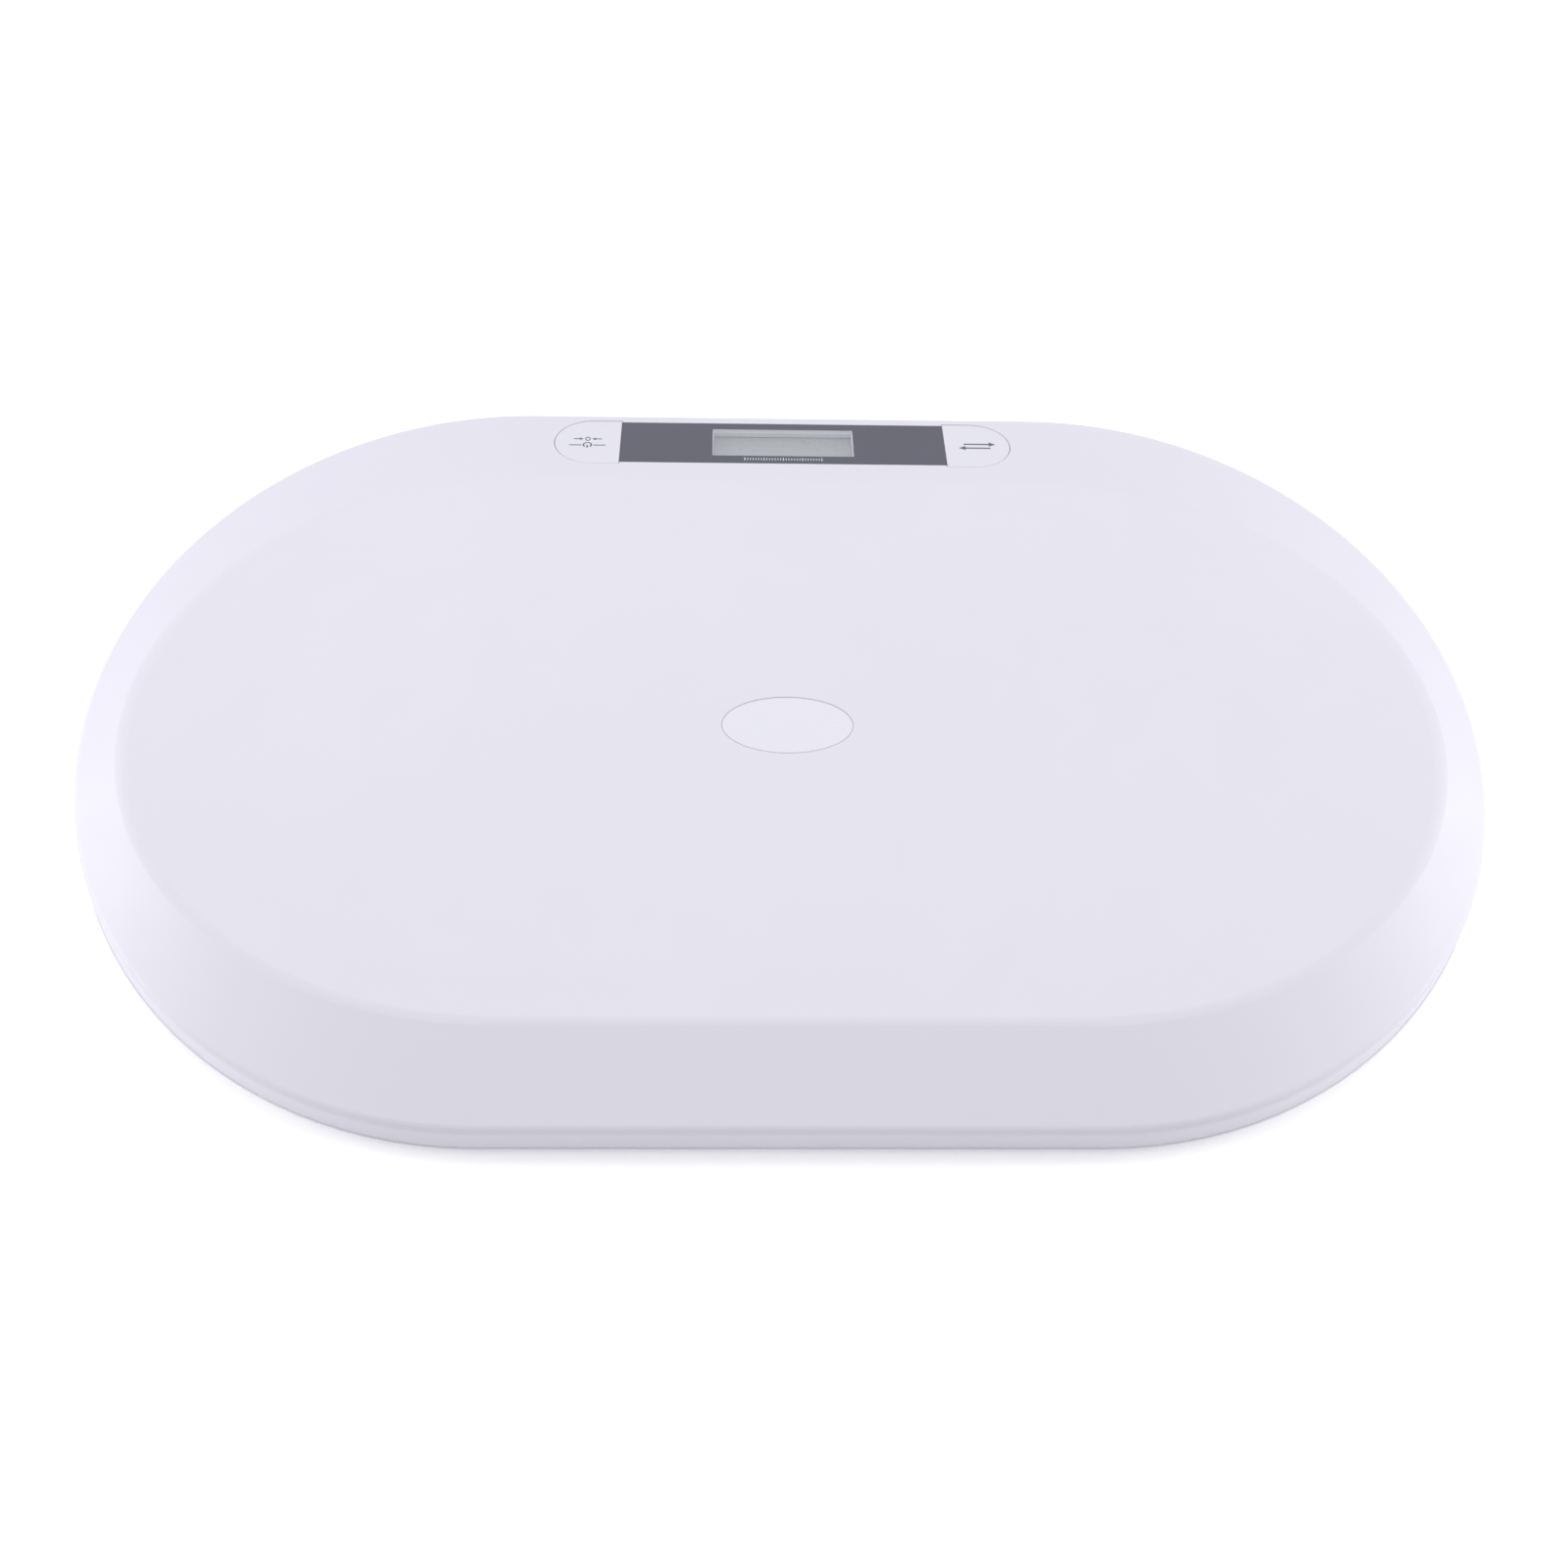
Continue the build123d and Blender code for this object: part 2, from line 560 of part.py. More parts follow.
with BuildPart() as battery_springs:
    for row_y, facing in BATTERY_ROWS.items():
        for turn in range(SPRING_TURNS):
            # stepped rings that narrow towards the battery's flat end
            turn_x = BATTERY_LENGTH / 2 + CONTACT_LENGTH * (1 - turn / SPRING_TURNS)
            with BuildSketch(Plane.YZ.offset(-facing * turn_x)):
                with Locations((row_y, BATTERY_Z)):
                    Circle(4.2 - 0.5 * turn)
                    Circle(3.2 - 0.5 * turn, mode=Mode.SUBTRACT)
            extrude(amount=facing * CONTACT_LENGTH / SPRING_TURNS)
save(battery_springs.part, "battery_springs")

with BuildPart() as battery_plates:
    for row_y, facing in BATTERY_ROWS.items():
        for end in (-1, 1):
            with BuildSketch(Plane.YZ.offset(end * BOX_INNER[0] / 2)):
                with Locations((row_y, BATTERY_Z)):
                    Rectangle(9.6, 9.6)
            extrude(amount=-end * PLATE_THICK)
        # a raised stud meets the battery's positive end
        with BuildSketch(Plane.YZ.offset(facing * BATTERY_LENGTH / 2)):
            with Locations((row_y, BATTERY_Z)):
                Circle(2.6)
        extrude(amount=facing * CONTACT_LENGTH)
save(battery_plates.part, "battery_plates")


# ---- leads held inside the case ----
def lead(name, points, radii):
    """A round lead of straight runs and tangent arcs; prints its length."""
    with BuildPart() as wire:
        with BuildLine() as route:
            FilletPolyline(*points, radius=radii)
        with BuildSketch(Plane(origin=route.line @ 0, z_dir=route.line % 0)):
            Circle(LEAD_RADIUS)
        sweep()
    length = sum(edge.length for edge in route.edges())
    area = math.pi * LEAD_RADIUS**2
    print(f"{name}: {length:.1f} mm long, volume ratio {wire.part.volume / (length * area):.4f}")
    save(wire.part, name)


LEAD_Z = 6.6
HOLDER_EDGE = FOOT_X - HOLDER_SIDE / 2
BOARD_UNDERSIDE = on_slope(BOARD_TOP - BOARD_THICK)
for side, hand in ((1, "right"), (-1, "left")):
    pin = BOARD_UNDERSIDE.from_local_coords((side * 90, 34.0, 0))
    lead(
        f"sensor_lead_front_{hand}",
        [
            (side * HOLDER_EDGE, -FOOT_Y, 11.2),
            (side * (HOLDER_EDGE - 14), -FOOT_Y, 11.2),
            (side * (HOLDER_EDGE - 26), -FOOT_Y - 4, LEAD_Z),
            (side * 104, -FOOT_Y - 30, LEAD_Z),
            (side * 90, pin.Y, LEAD_Z),
            (side * 90, pin.Y, pin.Z),
        ],
        [5, 5, 10, 3],
    )
    rear_pin = BOARD_UNDERSIDE.from_local_coords((side * 78, 34.0, 0))
    lead(
        f"sensor_lead_rear_{hand}",
        [
            (side * HOLDER_EDGE, FOOT_Y, 11.2),
            (side * (HOLDER_EDGE - 14), FOOT_Y, 11.2),
            (side * (HOLDER_EDGE - 26), FOOT_Y - 4, LEAD_Z),
            (side * 98, 40, LEAD_Z + 2.0),
            (side * 88, -60, LEAD_Z),
            (side * 78, rear_pin.Y, LEAD_Z),
            (side * 78, rear_pin.Y, rear_pin.Z),
        ],
        [5, 5, 20, 30, 3],
    )

battery_pin = BOARD_UNDERSIDE.from_local_coords((-48, 35.0, 0))
lead(
    "battery_lead",
    [
        (-BOX_OUTER[0] / 2, BATTERY_Y, 11.0),
        (-BOX_OUTER[0] / 2 - 10, BATTERY_Y, 11.0),
        (-BOX_OUTER[0] / 2 - 18, BATTERY_Y - 16, LEAD_Z),
        (-48, battery_pin.Y, LEAD_Z),
        (-48, battery_pin.Y, battery_pin.Z),
    ],
    [4, 5, 3],
)
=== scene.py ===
"""Looks of the small-animal scale: materials, printed marks, floor, lights and camera."""
import json
import math

import bmesh
import bpy
from mathutils import Matrix, Vector


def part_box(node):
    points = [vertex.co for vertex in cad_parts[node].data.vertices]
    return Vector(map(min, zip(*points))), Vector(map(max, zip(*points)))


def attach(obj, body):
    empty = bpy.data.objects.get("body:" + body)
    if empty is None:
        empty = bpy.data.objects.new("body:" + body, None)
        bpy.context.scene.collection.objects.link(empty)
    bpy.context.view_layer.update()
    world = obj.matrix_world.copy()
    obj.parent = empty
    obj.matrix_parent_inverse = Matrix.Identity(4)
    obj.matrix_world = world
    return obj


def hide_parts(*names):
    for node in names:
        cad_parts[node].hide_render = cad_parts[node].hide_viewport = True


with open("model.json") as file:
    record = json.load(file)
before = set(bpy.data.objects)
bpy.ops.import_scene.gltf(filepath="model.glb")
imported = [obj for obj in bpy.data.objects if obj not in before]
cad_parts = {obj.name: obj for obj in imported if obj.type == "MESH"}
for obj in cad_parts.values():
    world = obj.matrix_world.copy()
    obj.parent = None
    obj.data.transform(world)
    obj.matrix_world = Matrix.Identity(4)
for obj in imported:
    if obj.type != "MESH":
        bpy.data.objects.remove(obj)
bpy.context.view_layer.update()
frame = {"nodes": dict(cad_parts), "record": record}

MM = 0.001
NODES = frame["nodes"]


# ---- materials ----
def srgb(red, green, blue):
    """A linear colour from 0-255 display values."""
    def channel(value):
        value /= 255
        return value / 12.92 if value <= 0.04045 else ((value + 0.055) / 1.055) ** 2.4
    return (channel(red), channel(green), channel(blue), 1.0)


class Nodes:
    """Short calls for building a material's node tree."""

    def __init__(self, name):
        self.material = bpy.data.materials.new(name)
        self.material.use_nodes = True
        self.tree = self.material.node_tree
        self.shader = self.tree.nodes["Principled BSDF"]
        self.coords = self.tree.nodes.new("ShaderNodeTexCoord").outputs["Object"]

    def new(self, kind, **settings):
        node = self.tree.nodes.new(kind)
        for key, value in settings.items():
            setattr(node, key, value)
        return node

    def link(self, output, target):
        self.tree.links.new(output, target)

    def noise(self, scale, detail=3.0, roughness=0.5, coords=None):
        """Noise whose scale is in features per metre."""
        node = self.new("ShaderNodeTexNoise")
        self.link(coords or self.coords, node.inputs["Vector"])
        node.inputs["Scale"].default_value = scale
        node.inputs["Detail"].default_value = detail
        node.inputs["Roughness"].default_value = roughness
        return node.outputs["Fac"]

    def spread(self, value, low, high):
        """The middle of a noise, stretched to run from low to high."""
        node = self.new("ShaderNodeMapRange")
        self.link(value, node.inputs["Value"])
        node.inputs["From Min"].default_value = 0.3
        node.inputs["From Max"].default_value = 0.7
        node.inputs["To Min"].default_value = low
        node.inputs["To Max"].default_value = high
        return node.outputs["Result"]

    def blend(self, factor, first, second):
        node = self.new("ShaderNodeMix", data_type="RGBA")
        self.link(factor, node.inputs["Factor"])
        for socket, colour in ((node.inputs[6], first), (node.inputs[7], second)):
            if isinstance(colour, tuple):
                socket.default_value = colour
            else:
                self.link(colour, socket)
        return node.outputs[2]

    def bump(self, height, strength, distance):
        node = self.new("ShaderNodeBump")
        node.inputs["Strength"].default_value = strength
        node.inputs["Distance"].default_value = distance
        self.link(height, node.inputs["Height"])
        self.link(node.outputs["Normal"], self.shader.inputs["Normal"])


def shade(colour, factor):
    """A colour made lighter or darker."""
    return tuple(min(1.0, part * factor) for part in colour[:3]) + (1.0,)


def moulded(name, colour, rough=0.42, grain=2600.0, depth=0.00003, vary=0.03):
    """Moulded plastic: fine spark-eroded grain, faint cloudy colour, uneven sheen."""
    m = Nodes(name)
    clouds = m.spread(m.noise(9.0, 4.0), 0.0, 1.0)
    m.link(m.blend(clouds, shade(colour, 1 - vary), shade(colour, 1 + vary)), m.shader.inputs["Base Color"])
    m.link(m.spread(m.noise(40.0, 3.0), rough - 0.04, rough + 0.04), m.shader.inputs["Roughness"])
    m.bump(m.noise(grain, 2.0), 0.35, depth)
    return m.material


def metal(name, colour, rough=0.3, brush=(60.0, 2500.0, 60.0)):
    """Plated or brushed metal with fine directional marks."""
    m = Nodes(name)
    mapping = m.new("ShaderNodeMapping")
    m.link(m.coords, mapping.inputs["Vector"])
    mapping.inputs["Scale"].default_value = brush
    lines = m.noise(1.0, 4.0, 0.6, coords=mapping.outputs["Vector"])
    tone = m.blend(m.spread(lines, 0, 1), shade(colour, 0.88), shade(colour, 1.06))
    m.link(tone, m.shader.inputs["Base Color"])
    m.link(m.spread(m.noise(300.0), rough - 0.06, rough + 0.1), m.shader.inputs["Roughness"])
    m.shader.inputs["Metallic"].default_value = 1.0
    m.bump(lines, 0.2, 0.00002)
    return m.material


def clear_acrylic():
    """Clear window: only its surface shine shows, with faint dust."""
    m = Nodes("clear_acrylic")
    m.link(m.blend(m.noise(700.0), srgb(235, 238, 240), srgb(246, 248, 250)), m.shader.inputs["Base Color"])
    m.link(m.spread(m.noise(90.0), 0.03, 0.07), m.shader.inputs["Roughness"])
    m.shader.inputs["Alpha"].default_value = 0.10
    return m.material


def lcd_surface():
    """Reflective display: a greyish polariser with painted shading that makes it lighter towards the
    plateau.
    """
    m = Nodes("lcd_surface")
    split = m.new("ShaderNodeSeparateXYZ")
    m.link(m.coords, split.inputs["Vector"])
    # painted shading: the colour runs from darker to lighter along y, lighter towards the plateau
    low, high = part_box("lcd_glass")
    painted_shading_ramp = m.new("ShaderNodeMapRange")
    m.link(split.outputs["Y"], painted_shading_ramp.inputs["Value"])
    painted_shading_ramp.inputs["From Min"].default_value = low[1]
    painted_shading_ramp.inputs["From Max"].default_value = high[1]
    base = m.blend(painted_shading_ramp.outputs["Result"], srgb(132, 134, 139), srgb(160, 163, 168))
    speckle = m.blend(m.spread(m.noise(5200.0, 1.0), 0.0, 0.35), base, srgb(144, 148, 149))
    m.link(speckle, m.shader.inputs["Base Color"])
    m.link(m.spread(m.noise(800.0), 0.26, 0.34), m.shader.inputs["Roughness"])
    return m.material


WALL_MARGIN = 0.03 * MM


def window_plate(face, view_wall_painted_light, up):
    """Dark printed face; the walls round the display's view are white like the case, painted lighter than
    it to lift their shade.
    """
    m = Nodes("window_plate")
    lens = NODES["display_lens"].data.vertices
    heights = [vertex.co.dot(up) for vertex in lens]
    middle, reach = (max(heights) + min(heights)) / 2, (max(heights) - min(heights)) / 2
    half_width = max(vertex.co.x for vertex in lens)
    climb = m.new("ShaderNodeVectorMath", operation="DOT_PRODUCT")
    m.link(m.coords, climb.inputs[0])
    climb.inputs[1].default_value = up
    split = m.new("ShaderNodeSeparateXYZ")
    m.link(m.coords, split.inputs["Vector"])

    def within(value, centre, limit):
        test = m.new("ShaderNodeMath", operation="COMPARE")
        m.link(value, test.inputs[0])
        test.inputs[1].default_value = centre
        test.inputs[2].default_value = limit + WALL_MARGIN
        return test.outputs["Value"]

    both = m.new("ShaderNodeMath", operation="MULTIPLY")
    m.link(within(split.outputs["X"], 0.0, half_width), both.inputs[0])
    m.link(within(climb.outputs["Value"], middle, reach), both.inputs[1])
    print_tone = m.blend(m.noise(30.0), shade(face, 0.96), shade(face, 1.04))
    # painted light: the walls round the view get a white lighter than the case's, lifting their shade
    m.link(m.blend(both.outputs["Value"], print_tone, view_wall_painted_light), m.shader.inputs["Base Color"])
    m.link(m.spread(m.noise(60.0), 0.13, 0.19), m.shader.inputs["Roughness"])
    m.bump(m.noise(500.0), 0.2, 0.000004)
    return m.material


def circuit_board_look():
    """Green solder mask with copper tracks showing through faintly."""
    m = Nodes("circuit_board_look")
    tracks = m.new("ShaderNodeTexBrick")
    m.link(m.coords, tracks.inputs["Vector"])
    tracks.inputs["Scale"].default_value = 260.0
    tracks.inputs["Mortar Size"].default_value = 0.035
    tracks.inputs["Color1"].default_value = srgb(18, 92, 52)
    tracks.inputs["Color2"].default_value = srgb(15, 84, 48)
    tracks.inputs["Mortar"].default_value = srgb(46, 128, 66)
    m.link(tracks.outputs["Color"], m.shader.inputs["Base Color"])
    m.link(m.spread(m.noise(500.0), 0.28, 0.42), m.shader.inputs["Roughness"])
    m.bump(m.noise(2400.0), 0.2, 0.00002)
    return m.material


BAND_START = 9.0 * MM
BAND_BLUR = 0.1 * MM


def battery_sleeve():
    """Plain cell sleeve: dark body with a copper-coloured end band."""
    m = Nodes("battery_sleeve")
    split = m.new("ShaderNodeSeparateXYZ")
    m.link(m.coords, split.inputs["Vector"])
    # the middle cell faces the other way
    low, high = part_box("batteries")
    turned = m.new("ShaderNodeMath", operation="COMPARE")
    m.link(split.outputs["Y"], turned.inputs[0])
    turned.inputs[1].default_value = (low[1] + high[1]) / 2
    turned.inputs[2].default_value = (high[1] - low[1]) / 6
    facing = m.new("ShaderNodeMath", operation="MULTIPLY_ADD")
    m.link(turned.outputs["Value"], facing.inputs[0])
    facing.inputs[1].default_value = -2.0
    facing.inputs[2].default_value = 1.0
    along = m.new("ShaderNodeMath", operation="MULTIPLY")
    m.link(split.outputs["X"], along.inputs[0])
    m.link(facing.outputs["Value"], along.inputs[1])
    step = m.new("ShaderNodeMapRange")
    m.link(along.outputs["Value"], step.inputs["Value"])
    step.inputs["From Min"].default_value = BAND_START
    step.inputs["From Max"].default_value = BAND_START + BAND_BLUR
    body = m.blend(m.noise(60.0), srgb(38, 41, 46), srgb(46, 49, 54))
    m.link(m.blend(step.outputs["Result"], body, srgb(176, 112, 62)), m.shader.inputs["Base Color"])
    m.link(m.spread(m.noise(300.0), 0.22, 0.3), m.shader.inputs["Roughness"])
    return m.material


def matt_rubber():
    """Matt grey rubber with a dusty bloom."""
    m = Nodes("ribbed_rubber")
    bloom = m.spread(m.noise(220.0, 5.0), 0.0, 1.0)
    m.link(m.blend(bloom, srgb(96, 96, 99), srgb(112, 112, 114)), m.shader.inputs["Base Color"])
    m.link(m.spread(m.noise(500.0), 0.68, 0.82), m.shader.inputs["Roughness"])
    m.bump(m.noise(1500.0, 3.0), 0.5, 0.00008)
    return m.material


# ---- the display slope's own axes: x to the right, y up the slope, z out of it ----
axis_in = next(j for j in frame["record"]["behaviour"]["joints"] if j["name"] == "power_key_press")["axis"]
SLOPE_OUT = -Vector(axis_in).normalized()
SLOPE_UP = SLOPE_OUT.cross(Vector((1, 0, 0))).normalized()

WHITE = srgb(209, 207, 217)
FILM_WHITE = srgb(210, 209, 219)
FILM_GRAIN = 0.00001
LOOKS = {
    "white_case": moulded("case_abs", WHITE, rough=0.46, vary=0.008),
    "white_tray": moulded("tray_abs", srgb(226, 225, 232), rough=0.5, grain=1900.0, vary=0.01),
    "white_label": moulded("label_film", FILM_WHITE, rough=0.3, grain=900.0, depth=FILM_GRAIN, vary=0.008),
    "blank_label": moulded("rating_film", srgb(214, 216, 220), rough=0.34, grain=1200.0, depth=FILM_GRAIN),
    "key_white": moulded("key_film", FILM_WHITE, rough=0.38, grain=1400.0, depth=FILM_GRAIN, vary=0.01),
    # the second colour is the white of the display view's walls, lighter than the case's: painted light
    "dark_window": window_plate(srgb(86, 86, 98), srgb(226, 225, 233), SLOPE_UP),
    "clear_lens": clear_acrylic(),
    "lcd_panel": lcd_surface(),
    "inner_plastic": moulded("inner_abs", srgb(228, 228, 231), rough=0.5),
    "contact_rubber": moulded("connector_rubber", srgb(40, 40, 42), rough=0.7),
    "circuit_board": circuit_board_look(),
    "chip_plastic": moulded("chip_epoxy", srgb(34, 34, 36), rough=0.55, grain=4000.0),
    "switch_plastic": moulded("switch_nylon", srgb(44, 44, 46), rough=0.5),
    "battery_jacket": battery_sleeve(),
    "screw_steel": metal("zinc_plate", srgb(200, 200, 202), rough=0.34),
    "spring_steel": metal("nickel_plate", srgb(212, 208, 198), rough=0.24),
    "cell_steel": metal("sensor_steel", srgb(190, 192, 196), rough=0.3),
    "lead_red": moulded("red_pvc", srgb(176, 34, 30), rough=0.4, grain=1500.0),
    "lead_grey": moulded("grey_pvc", srgb(150, 150, 154), rough=0.42, grain=1500.0),
    "foot_plastic": moulded("foot_abs", srgb(226, 226, 230), rough=0.48),
    "foot_rubber": matt_rubber(),
}
for part in frame["record"]["subparts"]:
    node = NODES[part["node"]]
    node.data.materials.clear()
    node.data.materials.append(LOOKS[part["material_slot"]])


# ---- pieces ----
def node_middle(name):
    """The middle of a node's box at rest."""
    low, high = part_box(name)
    return (Vector(low) + Vector(high)) / 2


def node_top(name):
    """How far a node reaches along the slope's outward direction."""
    mesh = NODES[name].data
    return max(vertex.co.dot(SLOPE_OUT) for vertex in mesh.vertices)


def print_ink(name, colour):
    """Matt screen-printed ink."""
    return moulded(name, colour, rough=0.5, grain=3000.0, depth=0.000004, vary=0.02)


def add_piece(name, mesh, material, body, smooth=True):
    """Turn a bmesh into a piece that rides on a body."""
    data = bpy.data.meshes.new(name)
    mesh.to_mesh(data)
    mesh.free()
    data.materials.append(material)
    for face in data.polygons:
        face.use_smooth = smooth
    piece = bpy.data.objects.new(name, data)
    bpy.context.scene.collection.objects.link(piece)
    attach(piece, body)
    return piece


INK_GREY = print_ink("legend_ink", srgb(92, 92, 104))
INK_LIGHT = print_ink("scale_ink", srgb(196, 198, 206))
INK_THICK = 0.00004
ARC_STEPS = 28


class Marks:
    """Flat printed marks drawn in millimetres on a face that is parallel to a plane."""

    def __init__(self, name, middle, right, up, out):
        self.name = name
        self.middle, self.right, self.up, self.out = middle, right, up, out
        self.mesh = bmesh.new()

    def polygon(self, points):
        low = [self.middle + (self.right * x + self.up * y) * MM for x, y in points]
        bottom = [self.mesh.verts.new(point) for point in low]
        top = [self.mesh.verts.new(point + self.out * INK_THICK) for point in low]
        self.mesh.faces.new(top)
        self.mesh.faces.new(bottom[::-1])
        for index in range(len(points)):
            after = (index + 1) % len(points)
            self.mesh.faces.new((bottom[index], bottom[after], top[after], top[index]))

    def bar(self, x, y, width, height):
        w, h = width / 2, height / 2
        self.polygon([(x - w, y - h), (x + w, y - h), (x + w, y + h), (x - w, y + h)])

    def arc(self, x, y, radius, stroke, start, end, squeeze=1.0):
        """An open or closed ring stroke; squeeze narrows it sideways."""
        for step in range(ARC_STEPS):
            a = math.radians(start + (end - start) * step / ARC_STEPS)
            b = math.radians(start + (end - start) * (step + 1) / ARC_STEPS)
            inner, outer = radius - stroke / 2, radius + stroke / 2
            self.polygon([
                (x + inner * math.cos(a) * squeeze, y + inner * math.sin(a)),
                (x + outer * math.cos(a) * squeeze, y + outer * math.sin(a)),
                (x + outer * math.cos(b) * squeeze, y + outer * math.sin(b)),
                (x + inner * math.cos(b) * squeeze, y + inner * math.sin(b)),
            ])

    def arrow(self, x, y, length, direction, stroke, head):
        """A level arrow centred on x, y; direction is 1 to the right or -1 to the left."""
        tip = x + direction * length / 2
        neck = tip - direction * head
        tail = x - direction * length / 2
        self.bar((tail + neck) / 2, y, abs(neck - tail), stroke)
        points = [(neck, y - head * 0.55), (tip, y), (neck, y + head * 0.55)]
        self.polygon(points if direction > 0 else points[::-1])

    def finish(self, material, body, slot):
        bmesh.ops.remove_doubles(self.mesh, verts=self.mesh.verts, dist=1e-8)
        bmesh.ops.recalc_face_normals(self.mesh, faces=self.mesh.faces)
        add_piece(self.name, self.mesh, material, body, smooth=False)


def slope_marks(name, node):
    """Marks on the outer face of a node that lies parallel to the slope."""
    middle = node_middle(node)
    middle += SLOPE_OUT * (node_top(node) - middle.dot(SLOPE_OUT))
    return Marks(name, middle, Vector((1, 0, 0)), SLOPE_UP, SLOPE_OUT)


# power and tare key: a power sign between dashes over a zero between two arrows
power_mark = slope_marks("power_legend", "power_key")
power_mark.arc(0, 2.2, 1.75, 0.62, 125, 415)
power_mark.bar(0, 3.5, 0.62, 2.0)
for side in (-1, 1):
    power_mark.bar(side * 5.2, 2.4, 5.4, 0.62)
    power_mark.arrow(side * 4.0, -2.5, 4.4, -side, stroke=0.62, head=1.7)
power_mark.arc(0, -2.5, 1.3, 0.55, 0, 360, squeeze=0.75)
power_mark.finish(INK_GREY, "power_key", "key_white")

# unit key: two arrows that swap sides
unit_mark = slope_marks("unit_legend", "unit_key")
unit_mark.arrow(1.2, 1.5, 14.0, 1, stroke=0.95, head=2.9)
unit_mark.arrow(-1.2, -1.5, 14.0, -1, stroke=0.95, head=2.9)
unit_mark.finish(INK_GREY, "unit_key", "key_white")

# a plain row of graduation ticks on the dark window, on the plateau side of the display
TICK_COUNT = 29
TICK_PITCH = 1.2
TICKS_PER_MAJOR = 7
TICK_ROW = 12.2
ticks = slope_marks("graduation_ticks", "display_window")
for count in range(TICK_COUNT):
    tall = 2.2 if count % TICKS_PER_MAJOR == 0 else 1.4
    ticks.bar((count - (TICK_COUNT - 1) / 2) * TICK_PITCH, TICK_ROW, 0.42, tall)
ticks.finish(INK_LIGHT, "case", "dark_window")

# ---- foot pads with grip rings, in place of the plain discs ----
RING_GROOVES = 5
RING_DEPTH = 0.0005
RING_MOUTH = 0.25
RING_FLOOR = 0.15
PAD_EDGE = 0.0004
PAD_STEPS = 96
SHARP_EDGE = math.radians(35)


def pad_profile(radius, base, top):
    """Half section of a pad with grooves in its sole, from the middle of the sole outward."""
    pitch = radius / (RING_GROOVES + 1)
    profile = [(0.0, base)]
    for ring in range(1, RING_GROOVES + 1):
        centre = ring * pitch
        profile += [
            (centre - RING_MOUTH * pitch, base),
            (centre - RING_FLOOR * pitch, base + RING_DEPTH),
            (centre + RING_FLOOR * pitch, base + RING_DEPTH),
            (centre + RING_MOUTH * pitch, base),
        ]
    profile += [(radius - PAD_EDGE, base), (radius, base + PAD_EDGE), (radius, top - PAD_EDGE)]
    return profile + [(radius - PAD_EDGE, top), (0.0, top)]


def ringed_pad(node):
    """A turned pad whose sole has round grooves; it fills the plain pad's own box."""
    low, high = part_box(node)
    middle = ((low[0] + high[0]) / 2, (low[1] + high[1]) / 2)
    profile = pad_profile((high[0] - low[0]) / 2, low[2], high[2])
    mesh = bmesh.new()
    rows = []
    for reach, height in profile:
        if reach == 0.0:
            rows.append([mesh.verts.new((middle[0], middle[1], height))] * PAD_STEPS)
            continue
        row = []
        for step in range(PAD_STEPS):
            angle = 2 * math.pi * step / PAD_STEPS
            place = (middle[0] + reach * math.cos(angle), middle[1] + reach * math.sin(angle), height)
            row.append(mesh.verts.new(place))
        rows.append(row)
    for inner, outer in zip(rows, rows[1:]):
        for step in range(PAD_STEPS):
            after = (step + 1) % PAD_STEPS
            corners = [inner[step], inner[after], outer[after], outer[step]]
            mesh.faces.new(list(dict.fromkeys(corners)))
    bmesh.ops.recalc_face_normals(mesh, faces=mesh.faces)
    piece = add_piece(node.replace("foot_pad", "grip_pad"), mesh, LOOKS["foot_rubber"], "case")
    edges = piece.modifiers.new("edges", "EDGE_SPLIT")
    edges.split_angle = SHARP_EDGE
    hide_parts(node)


for node in [name for name in NODES if name.startswith("foot_pad_")]:
    ringed_pad(node)

# ---- conical coil springs, in place of the stepped rings ----
COIL_TURNS = 5
COIL_STEPS = 28
CLOSED_TURNS = 0.8
COIL_WIDE = 0.0037
COIL_NARROW = 0.0021
WIRE_RADIUS = 0.00035
WIRE_SIDES = 10


def coil(mesh, start, end, middle):
    """A conical coil along x, wide at its start, with a nearly closed turn at each end."""
    rings = []
    count = COIL_TURNS * COIL_STEPS
    for step in range(count + 1):
        share = step / count
        turn = share * COIL_TURNS
        rise = min(max((turn - CLOSED_TURNS) / (COIL_TURNS - 2 * CLOSED_TURNS), 0.0), 1.0)
        x = start + (end - start) * rise
        radius = COIL_WIDE + (COIL_NARROW - COIL_WIDE) * rise
        angle = 2 * math.pi * turn
        outward = Vector((0, math.cos(angle), math.sin(angle)))
        centre = Vector((x, middle[0], middle[1])) + outward * radius
        ring = []
        for side in range(WIRE_SIDES):
            around = 2 * math.pi * side / WIRE_SIDES
            offset = outward * math.cos(around) + Vector((1, 0, 0)) * math.sin(around)
            ring.append(mesh.verts.new(centre + offset * WIRE_RADIUS))
        rings.append(ring)
    for first, second in zip(rings, rings[1:]):
        for side in range(WIRE_SIDES):
            after = (side + 1) % WIRE_SIDES
            mesh.faces.new((first[side], first[after], second[after], second[side]))
    mesh.faces.new(rings[0][::-1])
    mesh.faces.new(rings[-1])


spring_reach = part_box("battery_springs")[1][0]
cell_low, cell_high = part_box("batteries")
cell_radius = (cell_high[2] - cell_low[2]) / 2
cell_height = (cell_high[2] + cell_low[2]) / 2
row_step = (cell_high[1] - cell_low[1] - 2 * cell_radius) / 2
springs = bmesh.new()
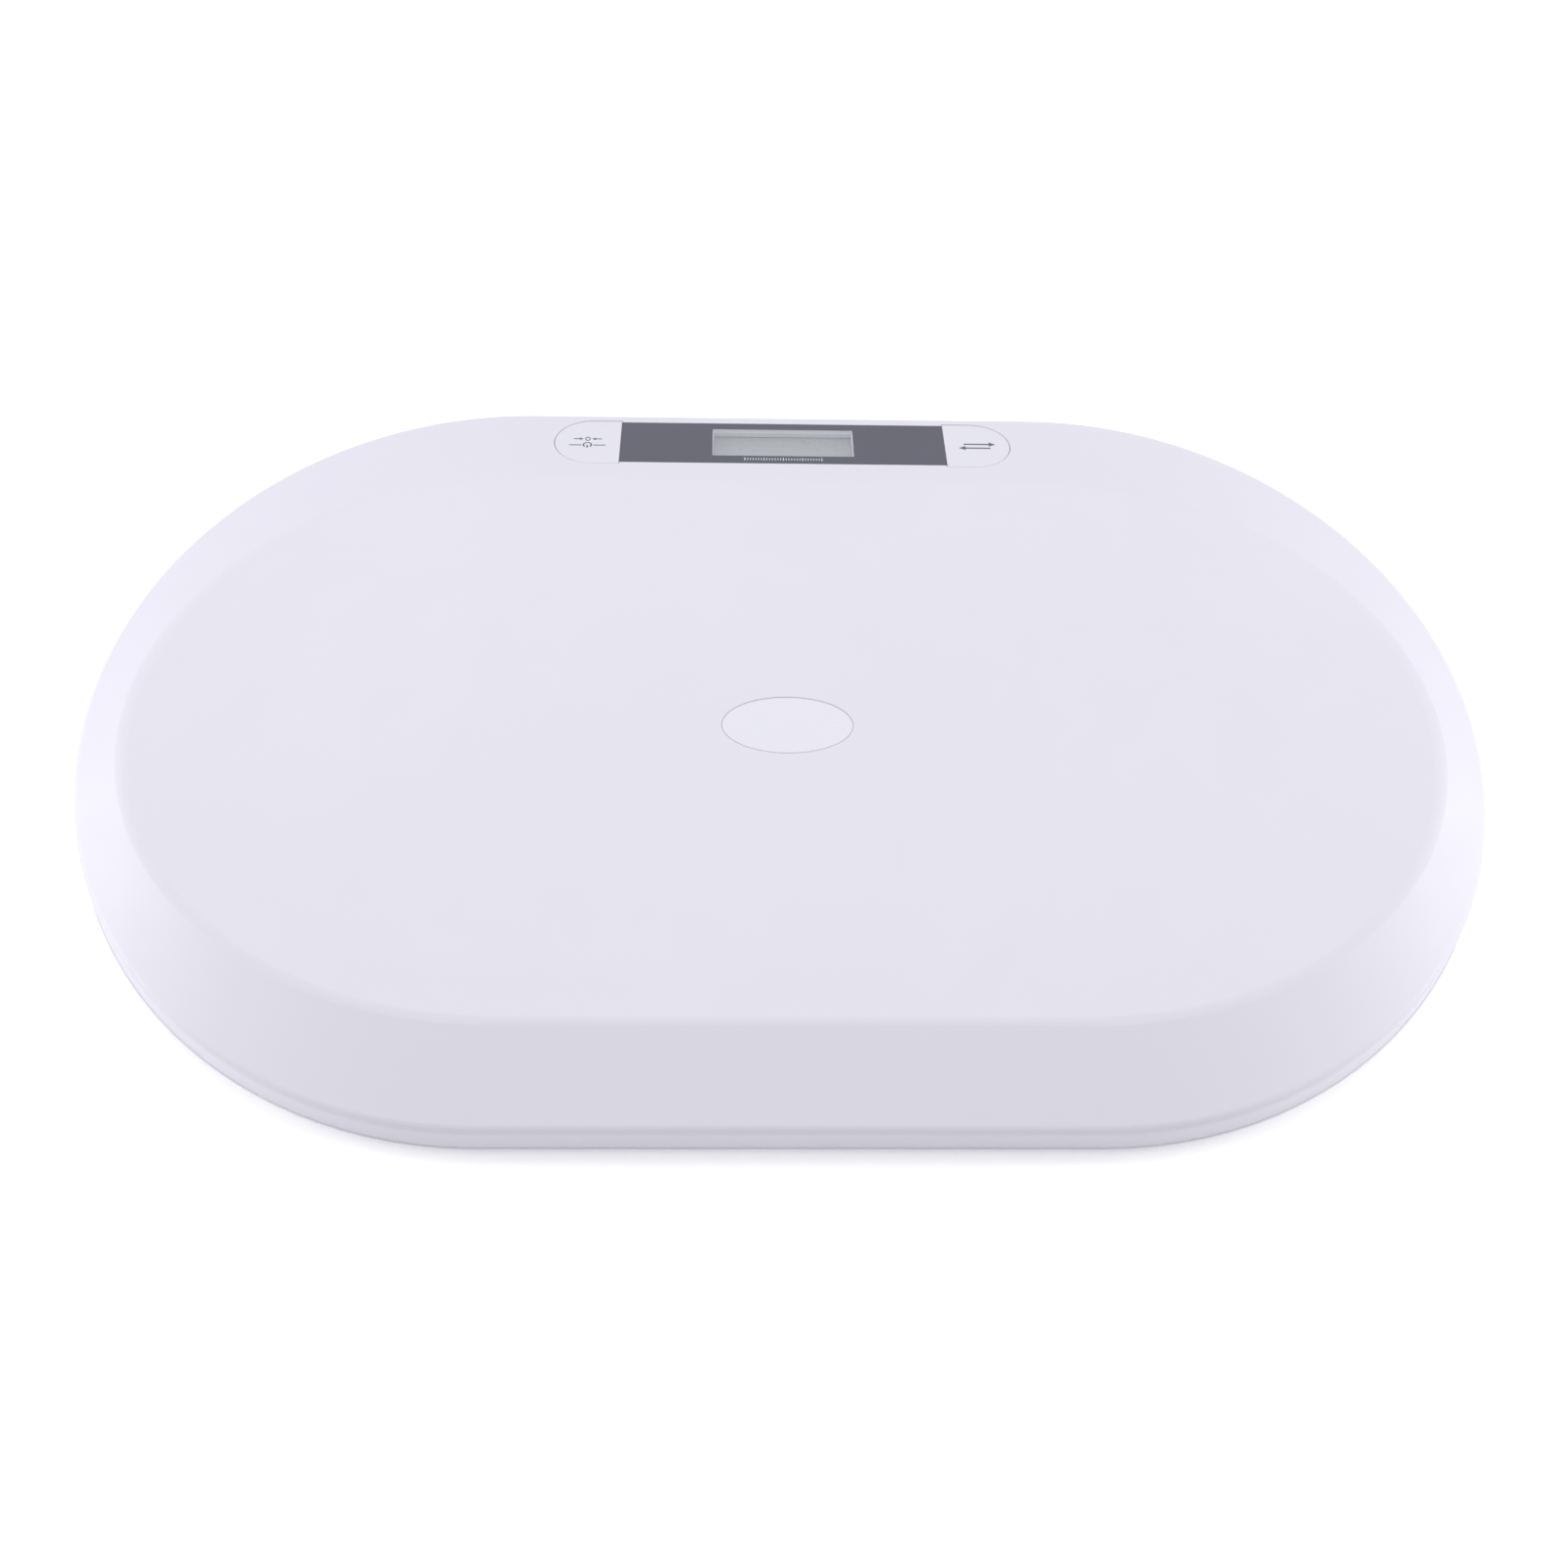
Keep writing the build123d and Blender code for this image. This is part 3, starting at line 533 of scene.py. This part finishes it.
# the middle cell faces the other way
for row, facing in ((-1, 1), (0, -1), (1, 1)):
    row_middle = ((cell_low[1] + cell_high[1]) / 2 + row * row_step, cell_height)
    plate_x = -facing * (spring_reach - WIRE_RADIUS)
    cell_x = -facing * (cell_high[0] + WIRE_RADIUS)
    coil(springs, plate_x, cell_x, row_middle)
bmesh.ops.recalc_face_normals(springs, faces=springs.faces)
spring_set = add_piece("coil_springs", springs, LOOKS["spring_steel"], "case")
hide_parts("battery_springs")

# ---- floor, light and camera ----
FLOOR_REACH = 6.0
FLOOR_DROP = 0.0001
FLOOR_GLOW = 0.18
WORLD_STRENGTH = 0.6

floor_mesh = bmesh.new()
bmesh.ops.create_grid(floor_mesh, x_segments=8, y_segments=8, size=FLOOR_REACH)
floor_data = bpy.data.meshes.new("studio_floor")
floor_mesh.to_mesh(floor_data)
floor_mesh.free()
floor = bpy.data.objects.new("studio_floor", floor_data)
floor.location.z = -FLOOR_DROP
bpy.context.scene.collection.objects.link(floor)
floor_look = Nodes("floor_paper")
floor_look.link(
    floor_look.blend(floor_look.noise(3.0), srgb(251, 251, 252), srgb(253, 253, 254)),
    floor_look.shader.inputs["Base Color"],
)
floor_look.shader.inputs["Roughness"].default_value = 0.9
floor_look.shader.inputs["Emission Color"].default_value = (1.0, 1.0, 1.0, 1.0)
floor_look.shader.inputs["Emission Strength"].default_value = FLOOR_GLOW
floor_look.shader.inputs["Specular IOR Level"].default_value = 0.1

# from below, the floor is see-through so that the feet and the battery door can be seen
below = floor_look.new("ShaderNodeNewGeometry").outputs["Backfacing"]
see_through = floor_look.new("ShaderNodeBsdfTransparent").outputs["BSDF"]
one_way = floor_look.new("ShaderNodeMixShader")
floor_look.link(below, one_way.inputs["Fac"])
floor_look.link(floor_look.shader.outputs["BSDF"], one_way.inputs[1])
floor_look.link(see_through, one_way.inputs[2])
floor_look.link(one_way.outputs["Shader"], floor_look.tree.nodes["Material Output"].inputs["Surface"])
floor_data.materials.append(floor_look.material)

world = bpy.data.worlds.new("studio")
world.use_nodes = True
sky = world.node_tree.nodes["Background"]
sky.inputs["Color"].default_value = (0.97, 0.975, 1.0, 1.0)
sky.inputs["Strength"].default_value = WORLD_STRENGTH
bpy.context.scene.world = world
bpy.context.scene.view_settings.view_transform = "Standard"


def softbox(name, place, size, watts, colour=(1.0, 1.0, 1.0)):
    """A rectangular light that faces the origin."""
    light = bpy.data.lights.new(name, "AREA")
    light.shape = "RECTANGLE"
    light.size, light.size_y = size
    light.energy = watts
    light.color = colour
    lamp = bpy.data.objects.new(name, light)
    bpy.context.scene.collection.objects.link(lamp)
    facing = Vector(place).to_track_quat("Z", "Y").to_matrix().to_4x4()
    lamp.matrix_world = Matrix.Translation(place) @ facing


softbox("overhead_softbox", (0.0, -0.7, 1.35), (1.9, 1.1), 10.4, (1.0, 0.995, 1.0))
for side in (-1, 1):
    softbox(f"side_softbox_{side + 2}", (side * 1.45, -0.05, 0.52), (0.9, 1.0), 12.3)

# the camera looks at the scale from the side opposite the display
CAMERA_AZIMUTH = math.radians(177.02)
CAMERA_ELEVATION = math.radians(56.63)
CAMERA_ROLL = math.radians(2.83)
CAMERA_DISTANCE = 0.7291
CAMERA_TARGET = Vector((0.00086, 0.01807, 0.003))
LENS_MM = 42.05

back = Vector((
    math.sin(CAMERA_AZIMUTH) * math.cos(CAMERA_ELEVATION),
    -math.cos(CAMERA_AZIMUTH) * math.cos(CAMERA_ELEVATION),
    math.sin(CAMERA_ELEVATION),
))
level_right = (-back).cross(Vector((0, 0, 1))).normalized()
level_up = level_right.cross(-back)
camera_right = level_right * math.cos(CAMERA_ROLL) + level_up * math.sin(CAMERA_ROLL)
camera_up = level_up * math.cos(CAMERA_ROLL) - level_right * math.sin(CAMERA_ROLL)
camera_data = bpy.data.cameras.new("camera")
camera_data.sensor_width = 36.0
camera_data.lens = LENS_MM
camera_data.clip_start = 0.01
camera = bpy.data.objects.new("camera", camera_data)
bpy.context.scene.collection.objects.link(camera)
turn = Matrix((camera_right, camera_up, back)).transposed().to_4x4()
camera.matrix_world = Matrix.Translation(CAMERA_TARGET + back * CAMERA_DISTANCE) @ turn
bpy.context.scene.camera = camera
